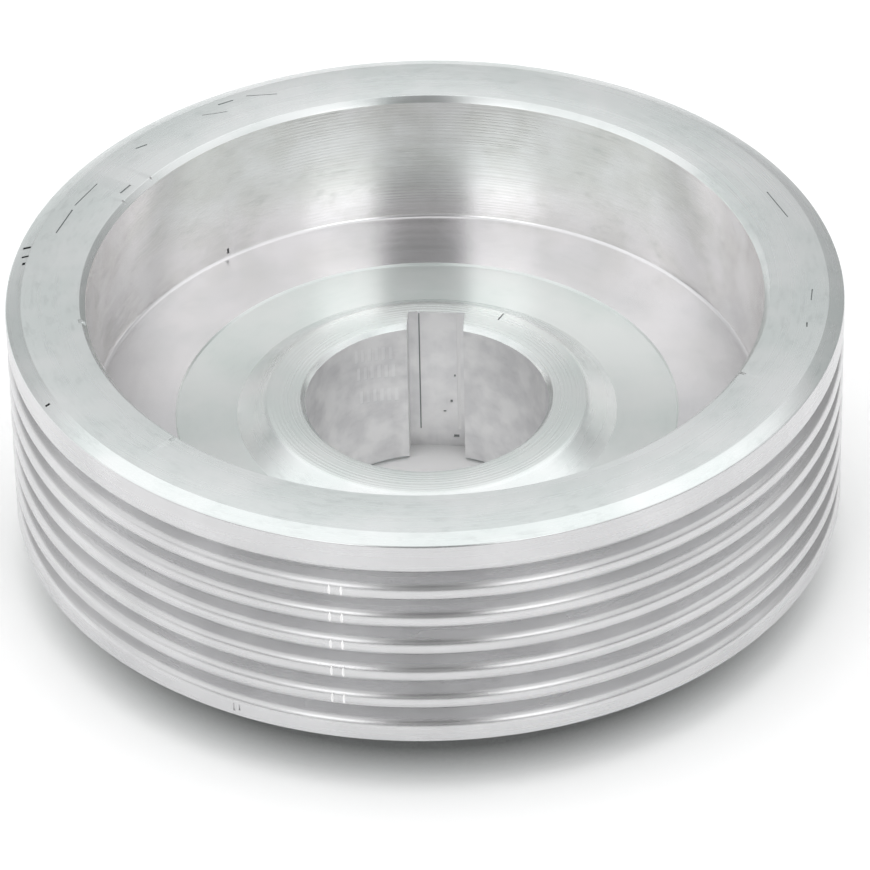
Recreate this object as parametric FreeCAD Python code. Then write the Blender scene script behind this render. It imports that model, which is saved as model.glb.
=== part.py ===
import FreeCAD, Part
import math
import os

# A multi-rib belt pulley, turned from one aluminium blank and keyed to its shaft.
# Sizes are millimetres. The axis is Z, with z = 0 at the hub's rear face, where it stands,
# and the open side of the recess faces up. The keyway lies along +Y.

# Rim
OUTER_RADIUS = 45.0
RIM_WIDTH = 26.3
RIM_BEVEL_WIDTH = 1.7
RIM_BEVEL_HEIGHT = 0.6
RIM_REAR_CHAMFER = 0.3

# Belt grooves: a 40 degree V at the standard 3.56 mm rib pitch
GROOVE_COUNT = 6
GROOVE_PITCH = 3.56
GROOVE_ANGLE = 40.0
FIRST_GROOVE_FROM_FRONT = 5.0
RIB_TIP_WIDTH = 0.5
RIB_TIP_RADIUS = 0.6
GROOVE_ROOT_RADIUS = 0.25

# Recess in the front face
RECESS_RADIUS = 36.4
RECESS_MOUTH_CHAMFER = 0.6
RECESS_DEPTH = 16.0
RECESS_CORNER_RADIUS = 0.5

# Shallow relief in the recess floor, round the hub
RELIEF_RADIUS = 27.3
RELIEF_DEPTH = 0.2

# Hub
HUB_LENGTH = 18.3
HUB_REAR_PROJECTION = 6.4
HUB_FRONT_RADIUS = 17.5
HUB_SLOPE_WIDTH = 3.1
HUB_REAR_RADIUS = 19.0
HUB_REAR_CHAMFER = 0.5
HUB_REAR_CORNER_RADIUS = 1.5

# Bore and keyway
BORE_RADIUS = 13.2
BORE_CHAMFER = 0.5
KEYWAY_WIDTH = 6.25
KEYWAY_FLOOR_FROM_AXIS = 15.6

# Each rounding is a few equal flats on its true arc
RIB_TIP_FLATS = 1
GROOVE_ROOT_FLATS = 1
INNER_CORNER_FLATS = 2

# Heights above the hub's rear face
RIM_REAR = HUB_REAR_PROJECTION
RIM_FRONT = RIM_REAR + RIM_WIDTH
RECESS_FLOOR = RIM_FRONT - RECESS_DEPTH
RELIEF_FLOOR = RECESS_FLOOR - RELIEF_DEPTH

AXIS_POINT = FreeCAD.Vector(0, 0, 0)
AXIS = FreeCAD.Vector(0, 0, 1)


def rib_corner_gap():
    """Distance along the axis between the two sharp corners of a rib, before they are rounded."""
    half_flank_turn = math.radians(90 - GROOVE_ANGLE / 2) / 2
    return RIB_TIP_WIDTH + 2 * RIB_TIP_RADIUS * math.tan(half_flank_turn)


def belt_groove_corners():
    """Corners of every belt groove, from the front of the rim to the rear."""
    half_opening = (GROOVE_PITCH - rib_corner_gap()) / 2
    sharp_depth = half_opening / math.tan(math.radians(GROOVE_ANGLE / 2))
    corners = []
    for groove in range(GROOVE_COUNT):
        middle = RIM_FRONT - FIRST_GROOVE_FROM_FRONT - groove * GROOVE_PITCH
        corners += [
            (OUTER_RADIUS, middle + half_opening, RIB_TIP_RADIUS, RIB_TIP_FLATS),
            (OUTER_RADIUS - sharp_depth, middle, GROOVE_ROOT_RADIUS, GROOVE_ROOT_FLATS),
            (OUTER_RADIUS, middle - half_opening, RIB_TIP_RADIUS, RIB_TIP_FLATS),
        ]
    return corners


def front_corners():
    """Corners of the front side, from the bore out over the hub, the recess and the rim's face."""
    return [
        (BORE_RADIUS, HUB_LENGTH - BORE_CHAMFER),
        (BORE_RADIUS + BORE_CHAMFER, HUB_LENGTH),
        (HUB_FRONT_RADIUS, HUB_LENGTH),
        (HUB_FRONT_RADIUS + HUB_SLOPE_WIDTH, RELIEF_FLOOR),
        (RELIEF_RADIUS - RELIEF_DEPTH, RELIEF_FLOOR),
        (RELIEF_RADIUS, RECESS_FLOOR),
        (RECESS_RADIUS, RECESS_FLOOR, RECESS_CORNER_RADIUS, INNER_CORNER_FLATS),
        (RECESS_RADIUS, RIM_FRONT - RECESS_MOUTH_CHAMFER),
        (RECESS_RADIUS + RECESS_MOUTH_CHAMFER, RIM_FRONT),
        (OUTER_RADIUS - RIM_BEVEL_WIDTH, RIM_FRONT),
        (OUTER_RADIUS, RIM_FRONT - RIM_BEVEL_HEIGHT),
    ]


def rear_corners():
    """Corners of the rear side, from the rim in over the flat web to the hub and the bore."""
    return [
        (OUTER_RADIUS, RIM_REAR + RIM_REAR_CHAMFER),
        (OUTER_RADIUS - RIM_REAR_CHAMFER, RIM_REAR),
        (HUB_REAR_RADIUS, RIM_REAR, HUB_REAR_CORNER_RADIUS, INNER_CORNER_FLATS),
        (HUB_REAR_RADIUS, HUB_REAR_CHAMFER),
        (HUB_REAR_RADIUS - HUB_REAR_CHAMFER, 0),
        (BORE_RADIUS + BORE_CHAMFER, 0),
        (BORE_RADIUS, BORE_CHAMFER),
    ]


def arc_points(corner, back, ahead, rounding, flats):
    """Points at equal angles on the arc that rounds a corner and is tangent to both of its sides."""
    half_angle = back.getAngle(ahead) / 2
    setback = rounding / math.tan(half_angle)
    centre = corner + (back + ahead).normalize() * (rounding / math.sin(half_angle))
    first = corner + back * setback - centre
    last = corner + ahead * setback - centre
    turn = first.getAngle(last)
    points = []
    for step in range(flats + 1):
        angle = turn * step / flats
        spoke = first * math.sin(turn - angle) + last * math.sin(angle)
        points.append(centre + spoke / math.sin(turn))
    return points


def outline(corners):
    """The closed half section, through corners of radius and height that may add a rounding and its flats."""
    sharp = [FreeCAD.Vector(radius, 0, height) for radius, height, *rounding in corners]
    points = []
    for index, (radius, height, *rounding) in enumerate(corners):
        corner = sharp[index]
        if rounding:
            back = (sharp[index - 1] - corner).normalize()
            ahead = (sharp[(index + 1) % len(sharp)] - corner).normalize()
            points += arc_points(corner, back, ahead, *rounding)
        else:
            points.append(corner)
    return Part.makePolygon(points + points[:1])


def turned_blank():
    """The whole pulley as it leaves the lathe: one profile turned about the axis."""
    section = Part.Face(outline(front_corners() + belt_groove_corners() + rear_corners()))
    return section.revolve(AXIS_POINT, AXIS, 360)


def keyway_cutter():
    """The slot that a broach leaves along the bore, from the axis out to the keyway's floor."""
    corner = FreeCAD.Vector(-KEYWAY_WIDTH / 2, 0, 0)
    return Part.makeBox(KEYWAY_WIDTH, KEYWAY_FLOOR_FROM_AXIS, HUB_LENGTH, corner)


def pulley():
    """The finished pulley, one solid."""
    solid = turned_blank().cut(keyway_cutter()).Solids[0]
    if solid.Volume < 0:
        solid.reverse()
    return solid


os.makedirs("parts", exist_ok=True)
part = pulley()
print("pulley valid", part.isValid(), "volume", round(part.Volume), "mm3, faces", len(part.Faces))
part.exportStep("parts/pulley.step")
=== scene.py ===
import math

import bpy
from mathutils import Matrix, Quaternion, Vector


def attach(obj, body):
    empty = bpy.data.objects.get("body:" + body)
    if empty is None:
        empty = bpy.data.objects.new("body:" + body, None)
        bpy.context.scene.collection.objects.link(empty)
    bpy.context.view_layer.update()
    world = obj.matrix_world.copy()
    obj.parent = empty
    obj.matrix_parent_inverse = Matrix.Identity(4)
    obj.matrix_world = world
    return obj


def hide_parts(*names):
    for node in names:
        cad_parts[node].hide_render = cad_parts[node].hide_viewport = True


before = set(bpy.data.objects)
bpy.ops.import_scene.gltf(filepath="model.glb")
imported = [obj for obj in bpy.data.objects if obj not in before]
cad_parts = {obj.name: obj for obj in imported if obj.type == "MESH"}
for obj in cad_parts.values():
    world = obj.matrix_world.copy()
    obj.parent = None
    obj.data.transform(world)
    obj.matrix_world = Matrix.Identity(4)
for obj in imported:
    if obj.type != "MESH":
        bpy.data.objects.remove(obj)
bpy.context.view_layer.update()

# A multi-rib belt pulley, turned from one aluminium blank, standing on its rear hub.
# Lengths are millimetres until they reach Blender, and the axis is Z.
MM = 0.001

# Rim, with its wide front bevel
OUTER_RADIUS = 45.0
RIM_REAR = 6.4
RIM_FRONT = RIM_REAR + 26.3
BEVEL_WIDTH = 1.7
BEVEL_HEIGHT = 0.6
REAR_CHAMFER = 0.3

# Belt grooves at the standard rib pitch
GROOVE_COUNT = 6
GROOVE_PITCH = 3.56
GROOVE_ANGLE = math.radians(40)
FIRST_GROOVE = RIM_FRONT - 5.0
RIB_LAND = 0.35
RIB_ROUNDING = 0.95
ROOT_ROUNDING = 0.25

# Recess, its floor and the shallow relief round the hub
RECESS_RADIUS = 36.4
MOUTH_CHAMFER = 0.6
RECESS_FLOOR = RIM_FRONT - 16.0
RECESS_ROUNDING = 0.5
RELIEF_RADIUS = 27.3
RELIEF_DEPTH = 0.2
RELIEF_FLOOR = RECESS_FLOOR - RELIEF_DEPTH

# Hub, bore and keyway
HUB_LENGTH = 18.3
HUB_RADIUS = 17.5
HUB_SLOPE = 3.1
HUB_REAR_RADIUS = 19.0
HUB_REAR_CHAMFER = 0.5
HUB_REAR_ROUNDING = 1.5
BORE_RADIUS = 13.2
BORE_CHAMFER = 0.5
KEYWAY_WIDTH = 6.25
KEYWAY_FLOOR = 15.6

# A hair's breadth of rounding on edges that a tool has only broken, a little more at the bevel's foot, and
# much more on the hub's front edge, which is filed
BROKEN_EDGE = 0.08
RIM_EDGE = 0.25
FILED_EDGE = 1.6

# Steps round the axis and round each rounded corner
TURN_STEPS = 480
ROUNDING_STEPS = 4

# Small dents of handling and marks of the tools: radius, turn about the axis in degrees and height of the
# middle, then the size along the radius, round the axis and upwards
DENTS = [
    # Ticks across the bevel's edge
    (43.9, 172.6, RIM_FRONT - 0.3, (0.9, 0.35, 1.0)),
    (43.7, 174.9, RIM_FRONT - 0.2, (0.8, 0.3, 0.9)),
    (43.6, 176.7, RIM_FRONT - 0.2, (0.35, 0.45, 0.9)),
    (44.3, -149.3, RIM_FRONT - 0.3, (0.5, 0.3, 0.9)),
    # Nicks in the recess's mouth
    (36.8, 156.6, RIM_FRONT - 0.1, (0.8, 0.25, 0.4)),
    (36.9, 148.4, RIM_FRONT - 0.1, (0.4, 0.3, 0.3)),
    (36.9, -167.7, RIM_FRONT - 0.2, (0.9, 0.7, 0.5)),
    (37.2, -130.5, RIM_FRONT - 0.1, (1.3, 0.6, 0.6)),
    (37.3, -22.1, RIM_FRONT - 0.1, (0.7, 0.4, 0.5)),
    # A tick at the foot of the recess's wall, a nick in the hub's front and two in the rim's last land
    (36.4, 131.6, RECESS_FLOOR + 0.9, (0.5, 0.25, 0.7)),
    (16.7, 64.5, HUB_LENGTH, (1.4, 0.22, 0.2)),
    (45.0, -112.9, RIM_REAR + 1.3, (0.3, 0.25, 1.0)),
    (45.0, -112.1, RIM_REAR + 1.4, (0.3, 0.2, 0.7)),
    # The broach's step line and a bright strip along the keyway's floor, then specks in it
    (15.705, 97.2, 10.2, (0.2, 0.14, 15.8)),
    (15.706, 81.43, 10.2, (0.2, 0.35, 15.8)),
    (15.65, 84.5, 6.2, (0.2, 0.25, 0.35)),
    (15.6, 87.3, 4.8, (0.2, 0.3, 0.2)),
    (15.7, 83.06, 9.7, (0.2, 0.2, 0.3)),
    (15.71, 82.7, 1.4, (0.2, 0.6, 0.35)),
]

# Fine scratches in the rim's front: radius and turn at both ends, then the width
SCRATCHES = [
    (41.5, 168.4, 41.4, 162.0, 0.16),
    (41.5, 160.8, 41.3, 154.3, 0.12),
    (38.1, 154.8, 38.0, 152.0, 0.2),
    (41.1, 28.6, 41.3, 21.3, 0.13),
    (41.5, 2.2, 41.4, -0.6, 0.12),
    (41.3, -6.3, 41.4, -7.4, 0.16),
    (42.3, 122.0, 41.1, 117.6, 0.14),
    (41.7, 130.3, 40.7, 126.6, 0.12),
    (42.4, 126.8, 42.3, 124.3, 0.16),
    (41.9, 143.5, 41.5, 141.6, 0.18),
]
SCRATCH_DEPTH = 0.08

# Rows of chatter that the boring tool has left: the turns of the first and last mark, and each row's height
CHATTER_TURNS = (130, 108)
CHATTER_HEIGHTS = [15.8, 13.4, 10.2]
CHATTER_MARKS = 6
CHATTER_SIZE = (0.3, 0.45, 1.7)
CHATTER_DEPTH = 0.04

# Two upright scores that cross every rib on the near side, each cut by a square bar that is set on its corner
# and reaches a little past the middle of the first and of the last groove
SCORE_TURNS = [-98.8, -97.2]
SCORE_DEPTH = 0.14
SCORE_SIDE = 0.3
SCORE_OVERRUN = GROOVE_PITCH / 3

# A zone of one finish reaches this far into open space, or stays this far off its neighbours' rounded edges
WIDE = 1.0
CLOSE = 0.05
FINE = 0.03
HAIR = 0.01

# Each zone's finish, the kind of face that it takes, its radii and its heights. A later zone goes over an
# earlier one. All other faces keep the finish "face".
ZONES = [
    ("wall", "steep", (RECESS_RADIUS - WIDE, RECESS_RADIUS + WIDE), (RECESS_FLOOR, RIM_FRONT)),
    ("rim", "any", (RECESS_RADIUS + 3 * WIDE, OUTER_RADIUS + WIDE),
     (RIM_REAR + HAIR, RIM_FRONT - BEVEL_HEIGHT - CLOSE)),
    ("bore", "steep", (0, BORE_RADIUS + FINE), (-WIDE, HUB_LENGTH + WIDE)),
    ("floor", "any", (RELIEF_RADIUS, RECESS_RADIUS - CLOSE),
     (RECESS_FLOOR - CLOSE, RECESS_FLOOR + RECESS_ROUNDING - 2 * CLOSE)),
    ("keyway", "steep", (BORE_RADIUS + FINE, KEYWAY_FLOOR + WIDE), (-WIDE, HUB_LENGTH - WIDE)),
    ("hub", "any", (BORE_RADIUS + BORE_CHAMFER / 2, HUB_RADIUS), (HUB_LENGTH - CLOSE, HUB_LENGTH + WIDE)),
    ("relief", "any", (HUB_RADIUS + HUB_SLOPE, RELIEF_RADIUS),
     (RELIEF_FLOOR - CLOSE, RECESS_FLOOR + CLOSE)),
    # The scores' cut faces take the pale scored finish, whose paleness is a painted glint
    ("score", "torn", (RECESS_RADIUS - WIDE, OUTER_RADIUS + WIDE), (RIM_REAR, RIM_FRONT + WIDE)),
    ("score", "keyway mark", (BORE_RADIUS, HUB_RADIUS), (CLOSE, HUB_LENGTH - BORE_CHAMFER)),
    # Keyway marks cut deeper than the pale depth take the grey painted shade of the scratches
    ("scratch", "deep keyway mark", (BORE_RADIUS, HUB_RADIUS), (CLOSE, HUB_LENGTH - BORE_CHAMFER)),
    # The side faces of the deep ticks at the bevel, at the wall's foot and in the hub's front take a painted
    # shade, near black
    ("dent_shade", "torn", (OUTER_RADIUS - 2 * WIDE, OUTER_RADIUS + WIDE), (RIM_FRONT - WIDE, RIM_FRONT + WIDE)),
    ("dent_shade", "torn", (RECESS_RADIUS - WIDE, RECESS_RADIUS + WIDE), (0, RECESS_FLOOR + 2 * WIDE)),
    ("dent_shade", "torn", (math.hypot(KEYWAY_FLOOR, KEYWAY_WIDTH / 2), HUB_RADIUS),
     (HUB_LENGTH - WIDE, HUB_LENGTH + WIDE)),
    # The floors of the rim's front scratches take the grey painted shade
    ("scratch", "any", (RECESS_RADIUS + 2 * MOUTH_CHAMFER, OUTER_RADIUS - BEVEL_WIDTH - 2 * CLOSE),
     (RIM_FRONT - 2 * CLOSE, RIM_FRONT - FINE)),
]

# A face is steep where its normal rises less than this, and torn where it turns this far round the axis,
# which only a blow, a scratch or a broach leaves
STEEP_RISE = 0.6
TORN_TURN = 0.3

# A mark in the keyway's floor is painted grey, a painted shade, where it is cut deeper than this
PALE_MARK_DEPTH = 0.06

# Edges that bend more than this stay crisp
CRISP_BEND = math.radians(32)


def add(tree, kind, inputs=None, **settings):
    """Adds a node to a tree, with its settings, and its inputs as values or links."""
    node = tree.nodes.new(kind)
    for name, value in settings.items():
        setattr(node, name, value)
    for socket, value in (inputs or {}).items():
        if isinstance(value, bpy.types.NodeSocket):
            tree.links.new(value, node.inputs[socket])
        else:
            node.inputs[socket].default_value = value
    return node


def link_to_scene(name, data):
    """A new object in the scene, at the origin."""
    made = bpy.data.objects.new(name, data)
    bpy.context.scene.collection.objects.link(made)
    return made


def empty_tree(owner):
    """The node tree of a material or a world, with nothing in it."""
    owner.use_nodes = True
    owner.node_tree.nodes.clear()
    return owner.node_tree


# sRGB's own constants
SRGB_TOE = 0.04045
SRGB_TOE_SLOPE = 12.92
SRGB_OFFSET = 0.055
SRGB_POWER = 2.4


def colour(hex_code):
    """An sRGB hex colour as the linear colour that a shader takes."""
    channels = [int(hex_code[i:i + 2], 16) / 255 for i in (1, 3, 5)]
    linear = [c / SRGB_TOE_SLOPE if c <= SRGB_TOE else ((c + SRGB_OFFSET) / (1 + SRGB_OFFSET)) ** SRGB_POWER
              for c in channels]
    return (*linear, 1.0)


# Shape

def groove_corners():
    """Corners (radius, height, rounding) of the belt grooves, from the rim's rear to its front."""
    flank_turn = (math.pi / 2 - GROOVE_ANGLE / 2) / 2
    half_opening = (GROOVE_PITCH - RIB_LAND) / 2 - RIB_ROUNDING * math.tan(flank_turn)
    sharp_depth = half_opening / math.tan(GROOVE_ANGLE / 2)
    corners = []
    for groove in reversed(range(GROOVE_COUNT)):
        middle = FIRST_GROOVE - groove * GROOVE_PITCH
        corners += [
            (OUTER_RADIUS, middle - half_opening, RIB_ROUNDING),
            (OUTER_RADIUS - sharp_depth, middle, ROOT_ROUNDING),
            (OUTER_RADIUS, middle + half_opening, RIB_ROUNDING),
        ]
    return corners


def section_corners():
    """The whole half section, from the bore under the hub and the rim and back over the front."""
    return [
        (BORE_RADIUS, BORE_CHAMFER, BROKEN_EDGE),
        (BORE_RADIUS + BORE_CHAMFER, 0, BROKEN_EDGE),
        (HUB_REAR_RADIUS - HUB_REAR_CHAMFER, 0, BROKEN_EDGE),
        (HUB_REAR_RADIUS, HUB_REAR_CHAMFER, BROKEN_EDGE),
        (HUB_REAR_RADIUS, RIM_REAR, HUB_REAR_ROUNDING),
        (OUTER_RADIUS - REAR_CHAMFER, RIM_REAR, BROKEN_EDGE),
        (OUTER_RADIUS, RIM_REAR + REAR_CHAMFER, BROKEN_EDGE),
        *groove_corners(),
        (OUTER_RADIUS, RIM_FRONT - BEVEL_HEIGHT, RIM_EDGE),
        (OUTER_RADIUS - BEVEL_WIDTH, RIM_FRONT, BROKEN_EDGE),
        (RECESS_RADIUS + MOUTH_CHAMFER, RIM_FRONT, BROKEN_EDGE),
        (RECESS_RADIUS, RIM_FRONT - MOUTH_CHAMFER, BROKEN_EDGE),
        (RECESS_RADIUS, RECESS_FLOOR, RECESS_ROUNDING),
        (RELIEF_RADIUS, RECESS_FLOOR, BROKEN_EDGE / 2),
        (RELIEF_RADIUS - RELIEF_DEPTH, RELIEF_FLOOR, BROKEN_EDGE / 2),
        (HUB_RADIUS + HUB_SLOPE, RELIEF_FLOOR, BROKEN_EDGE),
        (HUB_RADIUS, HUB_LENGTH, FILED_EDGE),
        (BORE_RADIUS + BORE_CHAMFER, HUB_LENGTH, BROKEN_EDGE),
        (BORE_RADIUS, HUB_LENGTH - BORE_CHAMFER, BROKEN_EDGE),
    ]


def section_mesh():
    """The half section as a loop of edges. X runs out from the bore and Y down, as turning expects it."""
    corners = section_corners()
    points = [((radius - BORE_RADIUS) * MM, -height * MM, 0) for radius, height, _ in corners]
    edges = [(i, (i + 1) % len(points)) for i in range(len(points))]
    mesh = bpy.data.meshes.new("pulley_section")
    mesh.from_pydata(points, edges, [])
    rounding = mesh.attributes.new("rounding", "FLOAT", "POINT")
    rounding.data.foreach_set("value", [r * MM for _, _, r in corners])
    return mesh


def dent_blocks():
    """Blocks (radius, turn, height, sides, own twist) for the dents, with their angles in radians."""
    return [(radius, math.radians(turn), height, sides, 0) for radius, turn, height, sides in DENTS]


def score_blocks():
    """Blocks for the scores, which end on the outer flanks of the first and last groove."""
    top = FIRST_GROOVE + SCORE_OVERRUN
    bottom = FIRST_GROOVE - (GROOVE_COUNT - 1) * GROOVE_PITCH - SCORE_OVERRUN
    middle = OUTER_RADIUS - SCORE_DEPTH + SCORE_SIDE / math.sqrt(2)
    sides = (SCORE_SIDE, SCORE_SIDE, top - bottom)
    return [(middle, math.radians(turn), (top + bottom) / 2, sides, math.pi / 4) for turn in SCORE_TURNS]


def chatter_blocks():
    """Blocks for the chatter. Each row runs a little down the bore, and starts later than the one above."""
    first, last = CHATTER_TURNS
    middle = BORE_RADIUS + CHATTER_DEPTH - CHATTER_SIZE[0] / 2
    blocks = []
    for row, height in enumerate(CHATTER_HEIGHTS):
        for mark in range(CHATTER_MARKS):
            share = (mark + row / len(CHATTER_HEIGHTS)) / CHATTER_MARKS
            turn = math.radians(first + (last - first) * share)
            blocks.append((middle, turn, height - share, CHATTER_SIZE, 0))
    return blocks


def scratch_blocks():
    """Blocks for the scratches, laid between their two ends."""
    blocks = []
    for first_radius, first_turn, last_radius, last_turn, width in SCRATCHES:
        ends = [(radius * math.cos(math.radians(turn)), radius * math.sin(math.radians(turn)))
                for radius, turn in ((first_radius, first_turn), (last_radius, last_turn))]
        run = [last - first for first, last in zip(*ends)]
        middle = [(first + last) / 2 for first, last in zip(*ends)]
        turn = math.atan2(middle[1], middle[0])
        sides = (math.hypot(*run), width, 2 * SCRATCH_DEPTH)
        blocks.append((math.hypot(*middle), turn, RIM_FRONT, sides, math.atan2(run[1], run[0]) - turn))
    return blocks


def blow_mesh():
    """A point for each mark, which carries the size and the turn of the block that cuts it."""
    blocks = dent_blocks() + score_blocks() + chatter_blocks() + scratch_blocks()
    points = [(radius * math.cos(turn) * MM, radius * math.sin(turn) * MM, height * MM)
              for radius, turn, height, _, _ in blocks]
    mesh = bpy.data.meshes.new("pulley_blows")
    mesh.from_pydata(points, [], [])
    size = mesh.attributes.new("size", "FLOAT_VECTOR", "POINT")
    size.data.foreach_set("vector", [side * MM for _, _, _, sides, _ in blocks for side in sides])
    twist = mesh.attributes.new("twist", "FLOAT_VECTOR", "POINT")
    twist.data.foreach_set("vector", [part for _, turn, _, _, own in blocks for part in (0, 0, turn + own)])
    return mesh


def turned_blank(tree, given):
    """The section, its corners rounded, turned about the axis. It comes out inside out, and is flipped."""
    loop = add(tree, "GeometryNodeMeshToCurve", {"Mesh": given["Section"]})
    rounding = add(tree, "GeometryNodeInputNamedAttribute", {"Name": "rounding"}, data_type="FLOAT")
    rounded = add(tree, "GeometryNodeFilletCurve",
                  {"Curve": loop.outputs[0], "Radius": rounding.outputs[0],
                   "Count": given["Rounding Steps"]}, mode="POLY")
    turn = add(tree, "GeometryNodeCurvePrimitiveCircle",
               {"Resolution": given["Turn Steps"], "Radius": BORE_RADIUS * MM}, mode="RADIUS")
    blank = add(tree, "GeometryNodeCurveToMesh",
                {"Curve": turn.outputs[0], "Profile Curve": rounded.outputs[0]})
    return add(tree, "GeometryNodeFlipFaces", {0: blank.outputs[0]}).outputs[0]


def keyway_broach(tree, given):
    """A block from the axis to the keyway's floor, longer than the hub."""
    size = add(tree, "ShaderNodeCombineXYZ",
               {0: given["Keyway Width"], 1: given["Keyway Floor"], 2: 2 * HUB_LENGTH * MM})
    half_floor = add(tree, "ShaderNodeMath", {0: given["Keyway Floor"], 1: 2.0}, operation="DIVIDE")
    middle = add(tree, "ShaderNodeCombineXYZ", {1: half_floor.outputs[0], 2: HUB_LENGTH / 2 * MM})
    block = add(tree, "GeometryNodeMeshCube", {"Size": size.outputs[0]})
    return add(tree, "GeometryNodeTransform",
               {"Geometry": block.outputs[0], "Translation": middle.outputs[0]}).outputs[0]


def blows(tree, given):
    """A block of its own size and turn at each mark."""
    marks = add(tree, "GeometryNodeObjectInfo", {"Object": given["Blows"]}, transform_space="ORIGINAL")
    size = add(tree, "GeometryNodeInputNamedAttribute", {"Name": "size"}, data_type="FLOAT_VECTOR")
    twist = add(tree, "GeometryNodeInputNamedAttribute", {"Name": "twist"}, data_type="FLOAT_VECTOR")
    spots = add(tree, "GeometryNodeMeshToPoints", {"Mesh": marks.outputs["Geometry"]})
    chisel = add(tree, "GeometryNodeMeshCube")
    blocks = add(tree, "GeometryNodeInstanceOnPoints",
                 {"Points": spots.outputs[0], "Instance": chisel.outputs[0],
                  "Rotation": twist.outputs[0], "Scale": size.outputs[0]})
    return add(tree, "GeometryNodeRealizeInstances", {0: blocks.outputs[0]}).outputs[0]


def smooth_shaded(tree, stock):
    """Smooth shading, with crisp edges where the surface bends sharply."""
    bend = add(tree, "GeometryNodeInputMeshEdgeAngle")
    crisp = add(tree, "FunctionNodeCompare", {"A": bend.outputs[0], "B": CRISP_BEND},
                operation="GREATER_THAN")
    smooth = add(tree, "GeometryNodeSetShadeSmooth", {"Geometry": stock, "Shade Smooth": True})
    shaded = add(tree, "GeometryNodeSetShadeSmooth",
                 {"Geometry": smooth.outputs[0], "Selection": crisp.outputs[0], "Shade Smooth": False},
                 domain="EDGE")
    return shaded.outputs[0]


def face_fields(tree):
    """Each face's radius and height, and the kinds of face that the zones name."""
    position = add(tree, "GeometryNodeInputPosition").outputs[0]
    place = add(tree, "ShaderNodeSeparateXYZ", {0: position}).outputs
    flat = add(tree, "ShaderNodeVectorMath", {0: position, 1: (1, 1, 0)}, operation="MULTIPLY")
    radius = add(tree, "ShaderNodeVectorMath", {0: flat.outputs[0]}, operation="LENGTH").outputs["Value"]

    normal = add(tree, "GeometryNodeInputNormal").outputs[0]
    facing = add(tree, "ShaderNodeSeparateXYZ", {0: normal}).outputs
    rise = add(tree, "ShaderNodeMath", {0: facing["Z"]}, operation="ABSOLUTE")
    around = add(tree, "ShaderNodeVectorMath", {0: position, 1: (0, 0, 1)}, operation="CROSS_PRODUCT")
    around = add(tree, "ShaderNodeVectorMath", {0: around.outputs[0]}, operation="NORMALIZE")
    along = add(tree, "ShaderNodeVectorMath", {0: normal, 1: around.outputs[0]}, operation="DOT_PRODUCT")
    along = add(tree, "ShaderNodeMath", {0: along.outputs["Value"]}, operation="ABSOLUTE")
    tests = {
        "steep": (rise.outputs[0], "LESS_THAN", STEEP_RISE),
        "torn": (along.outputs[0], "GREATER_THAN", TORN_TURN),
        "keyway mark": (place["Y"], "GREATER_THAN", (KEYWAY_FLOOR + HAIR) * MM),
        "deep keyway mark": (place["Y"], "GREATER_THAN", (KEYWAY_FLOOR + PALE_MARK_DEPTH) * MM),
    }
    kinds = {"any": None}
    for name, (value, operation, limit) in tests.items():
        test = add(tree, "FunctionNodeCompare", {"A": value, "B": limit}, operation=operation)
        kinds[name] = test.outputs[0]
    return radius, place["Z"], kinds


def zone_selection(tree, chosen, limits):
    """The chosen faces whose values lie between two limits each, as a selection."""
    for value, (low, high) in limits:
        for limit, operation in ((low, "GREATER_THAN"), (high, "LESS_THAN")):
            test = add(tree, "FunctionNodeCompare", {"A": value, "B": limit * MM}, operation=operation)
            if chosen is None:
                chosen = test.outputs[0]
            else:
                both = add(tree, "FunctionNodeBooleanMath", {0: chosen, 1: test.outputs[0]},
                           operation="AND")
                chosen = both.outputs[0]
    return chosen


def turning_tree(finishes):
    """Turns the pulley, broaches its keyway, strikes its marks and gives each zone its finish."""
    tree = bpy.data.node_groups.new("turned_pulley", "GeometryNodeTree")
    sockets = [
        ("Section", "NodeSocketGeometry", None),
        ("Blows", "NodeSocketObject", None),
        ("Turn Steps", "NodeSocketInt", TURN_STEPS),
        ("Rounding Steps", "NodeSocketInt", ROUNDING_STEPS),
        ("Keyway Width", "NodeSocketFloat", KEYWAY_WIDTH * MM),
        ("Keyway Floor", "NodeSocketFloat", KEYWAY_FLOOR * MM),
    ]
    for name, kind, default in sockets:
        socket = tree.interface.new_socket(name, in_out="INPUT", socket_type=kind)
        if default is not None:
            socket.default_value = default
    tree.interface.new_socket("Pulley", in_out="OUTPUT", socket_type="NodeSocketGeometry")
    given = add(tree, "NodeGroupInput").outputs

    # The cutters carry the stock's finish, because a cut face without one would fall into another's slot.
    # The marks are cut after the keyway, because a block that overlaps the broach would leave a face inside.
    stock, *cutters = [
        add(tree, "GeometryNodeSetMaterial", {0: shape, "Material": finishes["face"]}).outputs[0]
        for shape in (turned_blank(tree, given), keyway_broach(tree, given), blows(tree, given))
    ]
    for cutter in cutters:
        stock = add(tree, "GeometryNodeMeshBoolean", {0: stock, 1: cutter},
                    operation="DIFFERENCE", solver="MANIFOLD").outputs[0]
    body = add(tree, "GeometryNodeRealizeInstances", {"Geometry": smooth_shaded(tree, stock)})

    radius, height, kinds = face_fields(tree)
    for finish, kind, radii, heights in ZONES:
        selection = zone_selection(tree, kinds[kind], [(radius, radii), (height, heights)])
        body = add(tree, "GeometryNodeSetMaterial",
                   {"Geometry": body.outputs[0], "Selection": selection, "Material": finishes[finish]})
    add(tree, "NodeGroupOutput", {0: body.outputs[0]})
    return tree


def set_input(modifier, name, value):
    """Sets a modifier's input by the identifier behind its name."""
    for item in modifier.node_group.interface.items_tree:
        if item.name == name and item.in_out == "INPUT":
            modifier[item.identifier] = value


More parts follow.
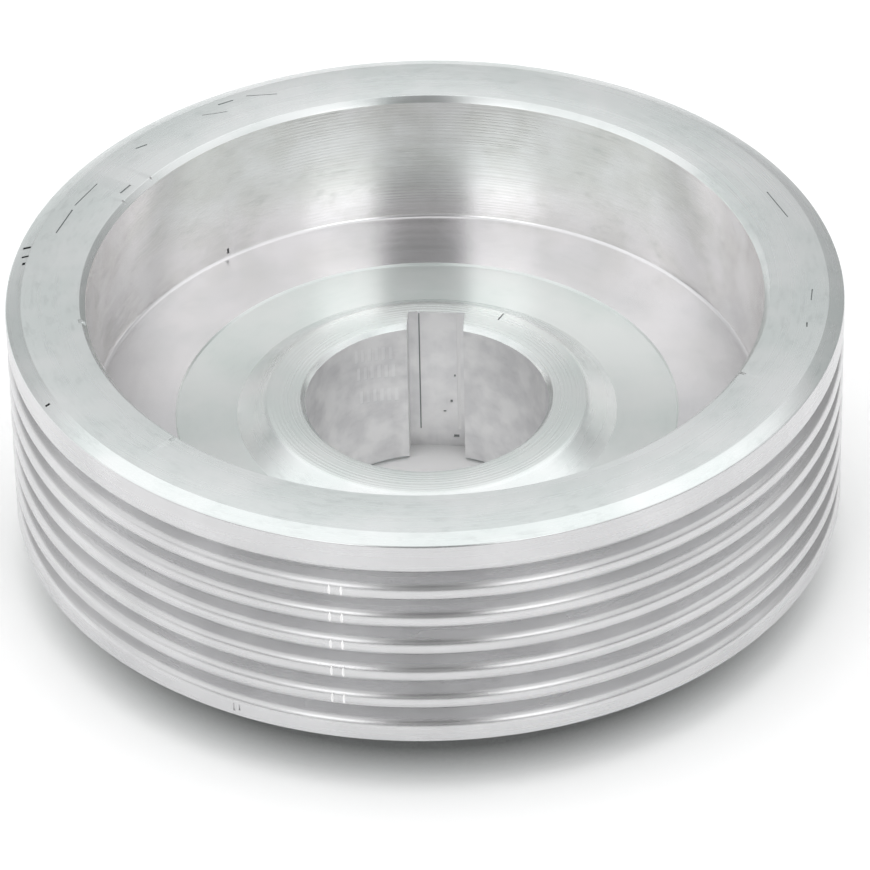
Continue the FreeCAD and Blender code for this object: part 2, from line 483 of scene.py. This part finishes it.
def turned_pulley(finishes):
    """The pulley as one plain mesh, its place in its vertices."""
    maker = link_to_scene("maker", section_mesh())
    marks = link_to_scene("marks", blow_mesh())
    modifier = maker.modifiers.new("turning", "NODES")
    modifier.node_group = turning_tree(finishes)
    set_input(modifier, "Blows", marks)
    set_input(modifier, "Turn Steps", TURN_STEPS)
    set_input(modifier, "Rounding Steps", ROUNDING_STEPS)
    bpy.context.view_layer.update()
    evaluated = maker.evaluated_get(bpy.context.evaluated_depsgraph_get())
    mesh = bpy.data.meshes.new_from_object(evaluated)
    mesh.name = "pulley_turned"
    for helper in (maker, marks):
        bpy.data.objects.remove(helper)
    return link_to_scene("pulley_turned", mesh)


# Finishes

# A tool line keeps its strength for this many mm round the axis. Its place strays by this many radians, where
# one pitch is a full turn.
LINE_LENGTH = 30
LINE_STRAY = 12.0

# Handling leaves faint grey smudges along the tool lines: their size in mm, and where in the noise they begin
# and where they are full
SMUDGE_LENGTH = 2.2
SMUDGE_WIDTH = 0.8
SMUDGE_BAND = (0.5, 0.72)
SMUDGE_GREY = "#8F9494"

# The metal's tone drifts in clouds of this many mm, between two limits of their noise
CLOUD_SIZE = 9.0
CLOUD_BAND = (0.38, 0.62)

NOISE_DETAIL = 4.0
SMUDGE_SHARPNESS = 0.6
ROUGHNESS_SPREAD = 0.06

# Anisotropic rotation in full turns: the radial tangent already runs round the axis, and a quarter turn
# spreads the light across the tool lines
ACROSS_LINES = 0.25


def along_rings(tree, place, path, length, width):
    """Coordinates that stretch a pattern round the axis: one length in mm there, and one width across."""
    across = add(tree, "ShaderNodeMath", {0: path, 1: 1 / (width * MM)}, operation="MULTIPLY")
    lift = add(tree, "ShaderNodeCombineXYZ", {2: across.outputs[0]})
    stretch = (1 / (length * MM), 1 / (length * MM), 0)
    spread = add(tree, "ShaderNodeVectorMath", {0: place, 1: stretch, 2: lift.outputs[0]},
                 operation="MULTIPLY_ADD")
    return spread.outputs[0]


def cut_aluminium(name, cut, base, stain, roughness, anisotropy, feed, ridge, smudges, cloud=CLOUD_SIZE):
    """Bare aluminium as a tool leaves it, cut round the axis on a face or on a wall, or straight along it.

    The tool's fine lines spread each highlight across them. The real lines are about 0.1 mm apart, too fine
    to show, so the feed in mm is the wider pitch at which the eye still reads them as lines. The ridge is
    their height in mm, the smudges are the strongest share of grey that handling adds, and the cloud is the
    size in mm of the drift between the base and the stain.
    """
    material = bpy.data.materials.new(name)
    tree = empty_tree(material)
    place = add(tree, "ShaderNodeTexCoord").outputs["Object"]
    parts = add(tree, "ShaderNodeSeparateXYZ", {0: place})
    flat = add(tree, "ShaderNodeVectorMath", {0: place, 1: (1, 1, 0)}, operation="MULTIPLY")
    radius = add(tree, "ShaderNodeVectorMath", {0: flat.outputs[0]}, operation="LENGTH").outputs["Value"]
    path = {"face": radius, "wall": parts.outputs["Z"], "straight": parts.outputs["X"]}[cut]

    # Tool lines
    wander = add(tree, "ShaderNodeTexNoise",
                 {"Vector": along_rings(tree, place, path, LINE_LENGTH, 2 * feed), "Scale": 1.0}).outputs[0]
    phase = add(tree, "ShaderNodeMath", {0: path, 1: 2 * math.pi / (feed * MM)}, operation="MULTIPLY")
    phase = add(tree, "ShaderNodeMath", {0: wander, 1: LINE_STRAY, 2: phase.outputs[0]},
                operation="MULTIPLY_ADD")
    lines = add(tree, "ShaderNodeMath", {0: phase.outputs[0]}, operation="SINE")
    lines = add(tree, "ShaderNodeMath", {0: lines.outputs[0], 1: wander}, operation="MULTIPLY")
    relief = add(tree, "ShaderNodeBump",
                 {"Height": lines.outputs[0], "Strength": 1.0, "Distance": ridge * MM})

    # Tone, with its clouds and smudges
    clouds = add(tree, "ShaderNodeTexNoise",
                 {"Vector": place, "Scale": 1 / (cloud * MM), "Detail": NOISE_DETAIL})
    cloudy = add(tree, "ShaderNodeMapRange",
                 {"Value": clouds.outputs[0], "From Min": CLOUD_BAND[0], "From Max": CLOUD_BAND[1]})
    tone = add(tree, "ShaderNodeMix", {"Factor": cloudy.outputs[0], "A": colour(base), "B": colour(stain)},
               data_type="RGBA")
    marks = add(tree, "ShaderNodeTexNoise",
                {"Vector": along_rings(tree, place, path, SMUDGE_LENGTH, SMUDGE_WIDTH), "Scale": 1.0,
                 "Detail": NOISE_DETAIL, "Roughness": SMUDGE_SHARPNESS})
    smudged = add(tree, "ShaderNodeMapRange",
                  {"Value": marks.outputs[0], "From Min": SMUDGE_BAND[0], "From Max": SMUDGE_BAND[1],
                   "To Max": smudges})
    smudged = add(tree, "ShaderNodeMath", {0: smudged.outputs[0], 1: cloudy.outputs[0]},
                  operation="MULTIPLY")
    tone = add(tree, "ShaderNodeMix", {"Factor": smudged.outputs[0], "A": tone.outputs["Result"],
                                       "B": colour(SMUDGE_GREY)}, data_type="RGBA")

    rough = add(tree, "ShaderNodeMapRange",
                {"Value": wander, "To Min": roughness - ROUGHNESS_SPREAD,
                 "To Max": roughness + ROUGHNESS_SPREAD})
    grain = add(tree, "ShaderNodeTangent", direction_type="RADIAL", axis="Z")
    shader = add(tree, "ShaderNodeBsdfPrincipled", {
        "Base Color": tone.outputs["Result"], "Metallic": 1.0, "Roughness": rough.outputs[0],
        "Anisotropic": anisotropy, "Anisotropic Rotation": 0.0 if cut == "straight" else ACROSS_LINES,
        "Tangent": grain.outputs[0], "Normal": relief.outputs[0]})
    add(tree, "ShaderNodeOutputMaterial", {"Surface": shader.outputs[0]})
    return material


def pulley_finishes():
    """The machined finishes of the one aluminium piece, by zone."""
    return {
        # Fine facing on the rim's front, the bevel and the rear: a soft, cool grey shine that fans out
        "face": cut_aluminium("faced_aluminium", "face", "#E9ECEC", "#DFE5E4",
                              0.27, 0.7, 0.5, 0.0008, 0.16),
        # The relief is faced with a duller tool, so its shine is flatter and a step darker
        "relief": cut_aluminium("faced_relief_aluminium", "face", "#DFE3E2", "#D7DEDC",
                                0.35, 0.7, 0.5, 0.0006, 0.06),
        # A coarse feed on the hub's front: rings that the eye can count
        "hub": cut_aluminium("faced_hub_aluminium", "face", "#E4E8E7", "#DCE3E1",
                             0.27, 0.7, 0.42, 0.006, 0.0),
        # The bored wall is the brightest cut: tall reflections, lined by the tool, with faint smears
        "wall": cut_aluminium("bored_recess_aluminium", "wall", "#F1F0F0", "#E8E7E5",
                              0.24, 0.8, 0.4, 0.006, 0.2, 5.0),
        # The ribs' form tool leaves an even, slightly darker satin with no smudges
        "rim": cut_aluminium("turned_rim_aluminium", "wall", "#CFCFD0", "#C8C8C9",
                             0.27, 0.7, 0.4, 0.0008, 0.0),
        # The recess's floor shines like its wall, with a warmer tone than the faces that were handled
        "floor": cut_aluminium("faced_recess_aluminium", "face", "#E7E6E8", "#DFDFE1",
                               0.24, 0.7, 0.5, 0.0006, 0.06),
        # The bore is left rough, so its shine is broad and mottled
        "bore": cut_aluminium("rough_bored_aluminium", "wall", "#F6F6F6", "#E6E6E7",
                              0.5, 0.4, 0.5, 0.002, 0.1, 3.0),
        # A broach leaves pale, matt flats with straight lines
        "keyway": cut_aluminium("broached_aluminium", "straight", "#FAFAFA", "#EEEEEF",
                                0.45, 0.5, 0.9, 0.001, 0.08, 3.0),
        # Fresh metal in a score, painted much paler than the rim: bare cut metal, and a painted highlight
        # that shows as a glint
        "score": cut_aluminium("scored_glint_aluminium", "wall", "#FAFAFA", "#F4F4F4", 0.5, 0.0, 0.5, 0.0, 0.0),
        # The floors of the fine scratches and of the deeper keyway marks are painted grey: a painted shade in
        # the cuts
        "scratch": cut_aluminium("scratch_shade_aluminium", "wall", "#9DA1A1", "#8E9292",
                                 0.6, 0.0, 0.5, 0.0, 0.0),
        # The deep ticks' cut faces are painted near black: a painted shade in the dents
        "dent_shade": cut_aluminium("dent_shade_aluminium", "wall", "#5C5F60", "#4E5152", 0.6, 0.0, 0.5, 0.0, 0.0),
    }


# Studio

# The camera as fitted to the rim, the recess, the hub and the bore in the photograph. At azimuth 0 it looks
# along +Y.
CAMERA_AIM = (0.807, 0.064, 12.979)
CAMERA_DISTANCE = 757.55
CAMERA_AZIMUTH = math.radians(-4.565)
CAMERA_ELEVATION = math.radians(36.570)
CAMERA_ROLL = math.radians(1.107)
CAMERA_LENS = 287.97
SENSOR = 36.0

# The nearest and the farthest that the camera sees, in metres
CLIP_NEAR = 0.05
CLIP_FAR = 20.0


def make_camera():
    """A long lens, as the small size of its perspective shows."""
    data = bpy.data.cameras.new("camera")
    data.sensor_width = SENSOR
    data.lens = CAMERA_LENS
    data.clip_start = CLIP_NEAR
    data.clip_end = CLIP_FAR
    camera = link_to_scene("camera", data)
    level = math.cos(CAMERA_ELEVATION)
    ahead = Vector((math.sin(CAMERA_AZIMUTH) * level, math.cos(CAMERA_AZIMUTH) * level,
                    -math.sin(CAMERA_ELEVATION)))
    camera.location = (Vector(CAMERA_AIM) - ahead * CAMERA_DISTANCE) * MM
    camera.rotation_mode = "QUATERNION"
    camera.rotation_quaternion = ahead.to_track_quat("-Z", "Y") @ Quaternion((0, 0, 1), -CAMERA_ROLL)
    bpy.context.scene.camera = camera


# Half the table's side in metres, its paint, and the whiter tone in which the camera and the metal see it
TABLE_HALF = 3.0
TABLE_COLOUR = "#F4F4F4"
TABLE_SEEN = 1.26

# A painted shade, from ambient occlusion, where the pulley stands near the table: its reach in mm, the radii
# between which it sets in under the rim, and its share inside the bore
CONTACT_REACH = 14
CONTACT_RADII = (46, 38)
CONTACT_IN_BORE = 0.3
CONTACT_SAMPLES = 4


def painted_contact_shade(tree, lit):
    """The table's seen tone darkened by a painted shade of the pulley, from ambient occlusion, strongest
    under the rim.
    """
    shade = add(tree, "ShaderNodeAmbientOcclusion", {"Color": lit, "Distance": CONTACT_REACH * MM},
                samples=CONTACT_SAMPLES)
    place = add(tree, "ShaderNodeTexCoord").outputs["Object"]
    radius = add(tree, "ShaderNodeVectorMath", {0: place}, operation="LENGTH").outputs["Value"]
    beside_hub = add(tree, "ShaderNodeMapRange",
                     {"Value": radius, "From Min": BORE_RADIUS * MM, "From Max": HUB_REAR_RADIUS * MM,
                      "To Min": CONTACT_IN_BORE})
    under_rim = add(tree, "ShaderNodeMapRange",
                    {"Value": radius, "From Min": CONTACT_RADII[0] * MM, "From Max": CONTACT_RADII[1] * MM,
                     "To Max": beside_hub.outputs[0]})
    mixed = add(tree, "ShaderNodeMix",
                {"Factor": under_rim.outputs[0], "A": lit, "B": shade.outputs["Color"]}, data_type="RGBA")
    return mixed.outputs["Result"]


def make_floor():
    """A plain white table top. What the camera sees of it is lifted to white, and keeps the shadow."""
    corners = [(-TABLE_HALF, -TABLE_HALF, 0), (TABLE_HALF, -TABLE_HALF, 0),
               (TABLE_HALF, TABLE_HALF, 0), (-TABLE_HALF, TABLE_HALF, 0)]
    mesh = bpy.data.meshes.new("table")
    mesh.from_pydata(corners, [], [(0, 1, 2, 3)])
    table = link_to_scene("table", mesh)
    material = bpy.data.materials.new("white_table")
    tree = empty_tree(material)
    rays = add(tree, "ShaderNodeLightPath")
    mirrored = add(tree, "ShaderNodeMath",
                   {0: rays.outputs["Is Glossy Ray"], 1: rays.outputs["Is Transmission Ray"]},
                   operation="MAXIMUM")
    seen = add(tree, "ShaderNodeMath", {0: rays.outputs["Is Camera Ray"], 1: mirrored.outputs[0]},
               operation="MAXIMUM")
    lit = (TABLE_SEEN, TABLE_SEEN, TABLE_SEEN, 1)
    white = add(tree, "ShaderNodeMix", {"Factor": seen.outputs[0], "A": colour(TABLE_COLOUR),
                                        "B": painted_contact_shade(tree, lit)}, data_type="RGBA")
    paper = add(tree, "ShaderNodeBsdfDiffuse", {"Color": white.outputs["Result"]})
    add(tree, "ShaderNodeOutputMaterial", {"Surface": paper.outputs[0]})
    mesh.materials.append(material)


# The tent's light by bearing from the camera in degrees, positive to the right. It is dim behind the pulley,
# so that the flats read grey, and has a narrow dim gap in front for the lens, with a bright panel on either
# side. The horizon is dim in front, which draws the dark lines in the grooves.
HORIZON = [
    (-180, 0.75), (-140, 1.0), (-95, 1.4), (-65, 0.6), (-45, 0.15),
    (50, 0.15), (95, 0.45), (140, 0.4), (165, 0.45), (180, 0.75),
]
SIDES = [
    (-180, 0.6), (-145, 0.52), (-120, 0.72), (-90, 1.1), (-60, 1.25), (-42, 1.2), (-34, 2.1), (-18, 2.2),
    (-14, 0.46), (14, 0.46),
    (18, 2.2), (34, 2.1), (42, 1.1), (60, 0.95), (90, 1.05), (120, 0.48), (145, 0.47), (180, 0.55),
]
SHOULDERS = [
    (-180, 1.12), (-120, 1.3), (-85, 1.05), (-50, 1.05), (-18, 0.85), (-14, 0.15),
    (14, 0.15), (18, 0.85), (50, 1.1), (85, 1.05), (120, 1.35), (180, 1.12),
]

# The ceiling lights the bevel and the hub's near slope
CEILING = (1.22, 1.22, 1.22, 1)

# Where one part of the tent passes into the next, as the height of a ray of length 1
HORIZON_END = (0.2, 0.3)
SIDES_END = (0.62, 0.76)
SHOULDERS_END = (0.93, 0.99)


def bearing_ramp(tree, share, levels):
    """Light levels round the tent, from a bearing's share of the full turn."""
    ramp = add(tree, "ShaderNodeValToRGB", {0: share})
    line = ramp.color_ramp
    for _ in levels[2:]:
        line.elements.new(0.5)
    for element, (bearing, level) in zip(line.elements, levels):
        element.position = (bearing + 180) / 360
        element.color = (level, level, level, 1)
    return ramp.outputs[0]


def make_world():
    """A light tent: bright on both sides of the lens, dimmer behind the pulley and in the lens's gap."""
    world = bpy.data.worlds.new("light_tent")
    bpy.context.scene.world = world
    tree = empty_tree(world)
    way = add(tree, "ShaderNodeTexCoord").outputs["Generated"]
    turned = add(tree, "ShaderNodeVectorRotate", {"Vector": way, "Angle": CAMERA_AZIMUTH},
                 rotation_type="Z_AXIS")
    parts = add(tree, "ShaderNodeSeparateXYZ", {0: turned.outputs[0]})
    front = add(tree, "ShaderNodeMath", {0: parts.outputs["Y"], 1: -1.0}, operation="MULTIPLY")
    bearing = add(tree, "ShaderNodeMath", {0: parts.outputs["X"], 1: front.outputs[0]}, operation="ARCTAN2")
    share = add(tree, "ShaderNodeMapRange",
                {"Value": bearing.outputs[0], "From Min": -math.pi, "From Max": math.pi})
    tent = bearing_ramp(tree, share.outputs[0], HORIZON)
    bands = [
        (HORIZON_END, bearing_ramp(tree, share.outputs[0], SIDES)),
        (SIDES_END, bearing_ramp(tree, share.outputs[0], SHOULDERS)),
        (SHOULDERS_END, CEILING),
    ]
    for (low, high), level in bands:
        rise = add(tree, "ShaderNodeMapRange",
                   {"Value": parts.outputs["Z"], "From Min": low, "From Max": high},
                   interpolation_type="SMOOTHSTEP")
        tent = add(tree, "ShaderNodeMix", {"Factor": rise.outputs[0], "A": tent, "B": level},
                   data_type="RGBA").outputs["Result"]
    light = add(tree, "ShaderNodeBackground", {"Color": tent, "Strength": 1.0})
    add(tree, "ShaderNodeOutputWorld", {"Surface": light.outputs[0]})


# A faint soft lamp behind the pulley, level, with its face towards the front
SOFTBOX_SIDE = 270
SOFTBOX_PLACE = (-24, 299, 370)
SOFTBOX_AIM = (-24, 0, 370)
SOFTBOX_WATTS = 0.05


def make_softbox():
    """A square soft light with its face turned to a point."""
    data = bpy.data.lights.new("rear_softbox", "AREA")
    data.shape = "SQUARE"
    data.size = SOFTBOX_SIDE * MM
    data.energy = SOFTBOX_WATTS
    lamp = link_to_scene("rear_softbox", data)
    lamp.location = Vector(SOFTBOX_PLACE) * MM
    lamp.visible_camera = False
    lamp.rotation_mode = "QUATERNION"
    lamp.rotation_quaternion = (Vector(SOFTBOX_AIM) - Vector(SOFTBOX_PLACE)).to_track_quat("-Z", "Y")


pulley = turned_pulley(pulley_finishes())
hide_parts("pulley")
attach(pulley, "root")

make_floor()
make_world()
make_softbox()
make_camera()
bpy.context.scene.view_settings.view_transform = "Standard"
